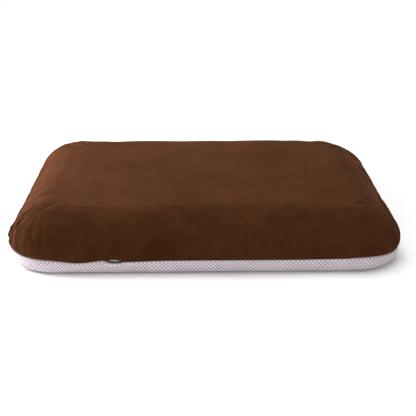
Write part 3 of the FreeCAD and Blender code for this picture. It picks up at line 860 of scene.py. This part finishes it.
# ---------------------------------------------------------------- materials
class Nodes:
    """Short names for building a node material."""

    def __init__(self, name, **sockets):
        self.material = bpy.data.materials.new(name)
        self.material.use_nodes = True
        self.tree = self.material.node_tree
        self.shader = self.tree.nodes["Principled BSDF"]
        for socket, value in sockets.items():
            self.shader.inputs[socket.replace("_", " ")].default_value = value
        self.place = self.add("ShaderNodeTexCoord").outputs["Object"]

    def feed(self, socket, value):
        """Links another node's output to a socket, or sets the socket to a plain value."""
        if isinstance(value, bpy.types.NodeSocket):
            self.tree.links.new(value, socket)
        else:
            socket.default_value = value

    def add(self, kind, **sockets):
        node = self.tree.nodes.new(kind)
        for socket, value in sockets.items():
            self.feed(node.inputs[socket.replace("_", " ")], value)
        return node

    def noise(self, scale, detail=2.0, roughness=0.5):
        node = self.add("ShaderNodeTexNoise", Vector=self.place, Scale=scale,
                        Detail=detail, Roughness=roughness)
        return node.outputs["Fac"]

    def cells(self, scale, randomness=1.0):
        node = self.add("ShaderNodeTexVoronoi", Vector=self.place, Scale=scale,
                        Randomness=randomness)
        return node.outputs["Distance"]

    def turned(self, *angles):
        """The piece's own coordinates, turned, so that a weave runs slantwise over it."""
        node = self.add("ShaderNodeMapping", Vector=self.place, Rotation=angles)
        return node.outputs[0]

    def ramp(self, factor, *stops):
        node = self.add("ShaderNodeValToRGB", Fac=factor)
        while len(node.color_ramp.elements) < len(stops):
            node.color_ramp.elements.new(0.5)
        for element, (position, colour) in zip(node.color_ramp.elements, stops):
            element.position = position
            element.color = (*colour, 1)
        return node.outputs["Color"]

    def greys(self, factor, *stops):
        return self.ramp(factor, *((position, (grey,) * 3) for position, grey in stops))

    def product(self, a, b):
        node = self.tree.nodes.new("ShaderNodeMath")
        node.operation = "MULTIPLY"
        for socket, value in zip(node.inputs, (a, b)):
            self.feed(socket, value)
        return node.outputs[0]

    def mix(self, factor, a, b, blend="MIX"):
        """Mixes two colours; 0, 6 and 7 are the factor and the colours A and B."""
        node = self.tree.nodes.new("ShaderNodeMix")
        node.data_type = "RGBA"
        node.blend_type = blend
        for number, value in ((0, factor), (6, a), (7, b)):
            self.feed(node.inputs[number], value)
        return node.outputs[2]

    def bump(self, height, distance_mm, strength=1.0, under=None):
        node = self.add("ShaderNodeBump", Height=height, Strength=strength,
                        Distance=distance_mm * 0.001)
        if under:
            self.tree.links.new(under, node.inputs["Normal"])
        return node.outputs["Normal"]

    def finish(self, colour=None, roughness=None, normal=None):
        links = {"Base Color": colour, "Roughness": roughness, "Normal": normal}
        for socket, value in links.items():
            if value is not None:
                self.tree.links.new(value, self.shader.inputs[socket])
        return self.material


def plush_material():
    """Short pile: a fine nap and a sheen; soft patches where the pile lies another way are
    painted lighter and darker into the colour, as the nap's shade and sheen.
    """
    m = Nodes("plush_pile", Roughness=1.0, Sheen_Weight=0.2, Sheen_Roughness=0.3,
              Sheen_Tint=(0.8, 0.36, 0.2, 1), Specular_IOR_Level=0.02)
    # painted shade and sheen: the pile lies another way in patches, and the lighter and darker
    # tone this gives is painted into the colour
    nap_shade_patches = m.noise(9, 3, 0.55)
    nap = m.noise(55, 4, 0.6)
    pile = m.noise(900, 2, 0.6)
    # the colour painted lighter and darker in patches and along the nap's lay, standing in for
    # the nap's shade and sheen
    colour = m.ramp(nap_shade_patches, (0.3, (0.036, 0.0115, 0.0042)), (0.72, (0.062, 0.0205, 0.0078)))
    nap_lay_shade = m.ramp(nap, (0.35, (0.032, 0.0105, 0.0038)), (0.68, (0.075, 0.027, 0.0105)))
    colour = m.mix(0.3, colour, nap_lay_shade)
    colour = m.mix(0.35, colour, m.greys(pile, (0.35, 0.3), (0.65, 0.85)), "OVERLAY")
    normal = m.bump(nap, 1.2, 0.5)
    normal = m.bump(pile, 0.45, 0.7, under=normal)
    return m.finish(colour=colour, normal=normal)


def grip_cloth_material():
    """Non-slip base cloth: a small even grain under its dots."""
    m = Nodes("grip_cloth", Roughness=0.85, Sheen_Weight=0.15, Specular_IOR_Level=0.3)
    tone = m.noise(25, 3)
    weave = m.cells(700.0)
    colour = m.ramp(tone, (0.3, (0.45, 0.385, 0.42)), (0.7, (0.54, 0.47, 0.505)))
    colour = m.mix(0.25, colour, m.greys(weave, (0.1, 0.6), (0.6, 0.3)), "OVERLAY")
    return m.finish(colour=colour, normal=m.bump(weave, 0.3, 0.6))


def dot_material():
    m = Nodes("grip_dot_rubber", Roughness=0.55, Specular_IOR_Level=0.4)
    tone = m.noise(60, 2)
    colour = m.ramp(tone, (0.3, (0.78, 0.7, 0.74)), (0.7, (0.88, 0.8, 0.84)))
    return m.finish(colour=colour, normal=m.bump(m.noise(1500, 1), 0.05, 0.5))


def woven_material(name, dark, light, scale):
    """A fine plain weave: two crossed sets of yarns."""
    m = Nodes(name, Roughness=0.85, Sheen_Weight=0.1, Specular_IOR_Level=0.25)
    slanted = m.turned(0.6, 0.5, 0.4)
    warp, weft = [m.add("ShaderNodeTexWave", Vector=slanted, Scale=scale, Distortion=0.6,
                        Detail=1.0) for _ in range(2)]
    weft.bands_direction = "Y"
    weave = m.product(warp.outputs["Fac"], weft.outputs["Fac"])
    tone = m.noise(scale * 0.08, 3)
    colour = m.mix(tone, m.ramp(weave, (0.1, dark), (0.7, light)),
                   m.ramp(weave, (0.0, tuple(c * 0.8 for c in dark)), (0.8, light)))
    return m.finish(colour=colour, normal=m.bump(weave, 0.15, 0.8))


def lining_material():
    """Thin non-woven lining: pressed points over matted fibres."""
    m = Nodes("lining", Roughness=0.8, Specular_IOR_Level=0.3, Sheen_Weight=0.2)
    points = m.cells(420.0, 0.15)
    fibres = m.noise(900, 4, 0.7)
    colour = m.ramp(fibres, (0.3, (0.72, 0.71, 0.68)), (0.7, (0.86, 0.85, 0.82)))
    normal = m.bump(points, 0.3, 0.5)
    return m.finish(colour=colour, normal=m.bump(fibres, 0.1, 0.4, under=normal))


def fibre_material():
    """Loose batting: soft clumps with fine strands over them."""
    m = Nodes("fibre_batting", Roughness=0.95, Specular_IOR_Level=0.1, Sheen_Weight=0.5)
    clump = m.noise(80, 5, 0.7)
    strand = m.add("ShaderNodeTexNoise", Vector=m.place, Scale=500.0, Detail=4.0,
                   Distortion=2.0).outputs["Fac"]
    colour = m.ramp(clump, (0.3, (0.76, 0.76, 0.74)), (0.7, (0.92, 0.92, 0.9)))
    normal = m.bump(clump, 4.0, 0.6)
    return m.finish(colour=colour, normal=m.bump(strand, 0.8, 0.7, under=normal))


def metal_material():
    """Die-cast metal, dull from handling: small dents and worn, brighter patches."""
    m = Nodes("cast_metal", Metallic=0.9)
    wear = m.noise(420, 4, 0.6)
    grain = m.noise(2600, 2)
    colour = m.ramp(wear, (0.35, (0.42, 0.405, 0.39)), (0.65, (0.62, 0.6, 0.58)))
    roughness = m.greys(wear, (0.3, 0.5), (0.7, 0.3))
    return m.finish(colour=colour, roughness=roughness, normal=m.bump(grain, 0.03, 0.5))


def nylon_material():
    m = Nodes("coil_nylon", Roughness=0.35, Specular_IOR_Level=0.5)
    tone = m.noise(300, 2)
    colour = m.ramp(tone, (0.3, (0.2, 0.18, 0.19)), (0.7, (0.3, 0.275, 0.29)))
    return m.finish(colour=colour, normal=m.bump(m.noise(3000, 1), 0.02, 0.5))


def thread_material(name, dark, light):
    """Twisted thread: fine slanting plies."""
    m = Nodes(name, Roughness=0.6, Sheen_Weight=0.2)
    ply = m.add("ShaderNodeTexWave", Vector=m.turned(0.3, 0.4, 0.7), Scale=1500.0,
                Distortion=0.3).outputs["Fac"]
    return m.finish(colour=m.ramp(ply, (0.2, dark), (0.8, light)), normal=m.bump(ply, 0.08, 0.7))


def paint(obj, material):
    obj.data.materials.clear()
    obj.data.materials.append(material)


DOTS = dot_material()
DARK_THREAD = thread_material("dark_thread", (0.03, 0.014, 0.007), (0.07, 0.034, 0.017))
METAL = metal_material()
TAPE = woven_material("zip_tape_weave", (0.16, 0.14, 0.15), (0.27, 0.245, 0.26), 900)
LINING = lining_material()
NYLON = nylon_material()
paint(cover, plush_material())
paint(base, grip_cloth_material())
paint(side, DOTS)
paint(under, DOTS)
paint(liner_top, LINING)
paint(liner_bottom, LINING)
paint(fill, fibre_material())
for row in dark_stitches:
    paint(row, DARK_THREAD)
paint(pale_stitches, thread_material("pale_thread", (0.6, 0.6, 0.57), (0.85, 0.85, 0.82)))
for obj in coils:
    paint(obj, NYLON)
for obj in (slider, pull):
    paint(obj, METAL)
for node in ("zip_tape_upper", "zip_tape_lower"):
    paint(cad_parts[node], TAPE)
for node in ("zip_end_stops", "zip_bottom_stop"):
    paint(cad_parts[node], METAL)
for node in ("zip_tack_closed", "zip_tack_open"):
    paint(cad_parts[node], DARK_THREAD)
paint(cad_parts["seam_binding"],
      woven_material("binding_weave", (0.2, 0.17, 0.2), (0.36, 0.32, 0.36), 700))


# ---------------------------------------------------------------- floor, lights and camera
def stage():
    """A wide white floor, which the export leaves out."""
    far = 14000
    corners = [[-far, -far, 0], [far, -far, 0], [far, far, 0], [-far, far, 0]]
    floor = add_mesh("floor", corners, [[0, 1, 2, 3]], body=None)
    m = Nodes("floor_white", Roughness=0.9, Specular_IOR_Level=0.1)
    m.shader.inputs["Base Color"].default_value = (0.93, 0.93, 0.93, 1)
    paint(floor, m.material)


def area_light(name, place, aim, size, power):
    data = bpy.data.lights.new(name, "AREA")
    data.shape = "RECTANGLE"
    data.size, data.size_y = size
    data.energy = power
    light = bpy.data.objects.new(name, data)
    bpy.context.scene.collection.objects.link(light)
    light.location = place
    light.rotation_euler = (Vector(aim) - Vector(place)).to_track_quat("-Z", "Y").to_euler()


def lights():
    """Soft studio light from above, from the left and faintly from the front."""
    world = bpy.data.worlds.new("studio")
    bpy.context.scene.world = world
    world.use_nodes = True
    background = world.node_tree.nodes["Background"]
    background.inputs["Color"].default_value = (1, 1, 1, 1)
    background.inputs["Strength"].default_value = 0.52
    sun = bpy.data.objects.new("overhead", bpy.data.lights.new("overhead", "SUN"))
    sun.data.energy, sun.data.angle = 1.85, math.radians(42)
    sun.rotation_euler = (math.radians(-9), math.radians(-11), 0)
    bpy.context.scene.collection.objects.link(sun)
    area_light("left", (-1.05, 0.12, 0.42), (-0.25, 0, 0.08), (0.6, 0.4), 17)
    area_light("front", (0.1, -2.2, 0.7), (0, 0, 0.05), (1.6, 0.6), 5)


def camera():
    """The view of the photograph, from just left of the middle."""
    data = bpy.data.cameras.new("camera")
    data.sensor_width = 36
    data.lens = 67.1
    data.shift_x, data.shift_y = 0.012, -0.0135
    obj = bpy.data.objects.new("camera", data)
    bpy.context.scene.collection.objects.link(obj)
    turn, rise, distance = math.radians(-0.94), math.radians(22.38), 1.6276
    level = math.cos(rise)
    back = Vector((math.sin(turn) * level, -math.cos(turn) * level, math.sin(rise)))
    obj.location = Vector((0, 0, 0.032)) + back * distance
    obj.rotation_euler = (-back).to_track_quat("-Z", "Y").to_euler()
    bpy.context.scene.camera = obj


stage()
lights()
camera()
bpy.context.scene.view_settings.view_transform = "Standard"
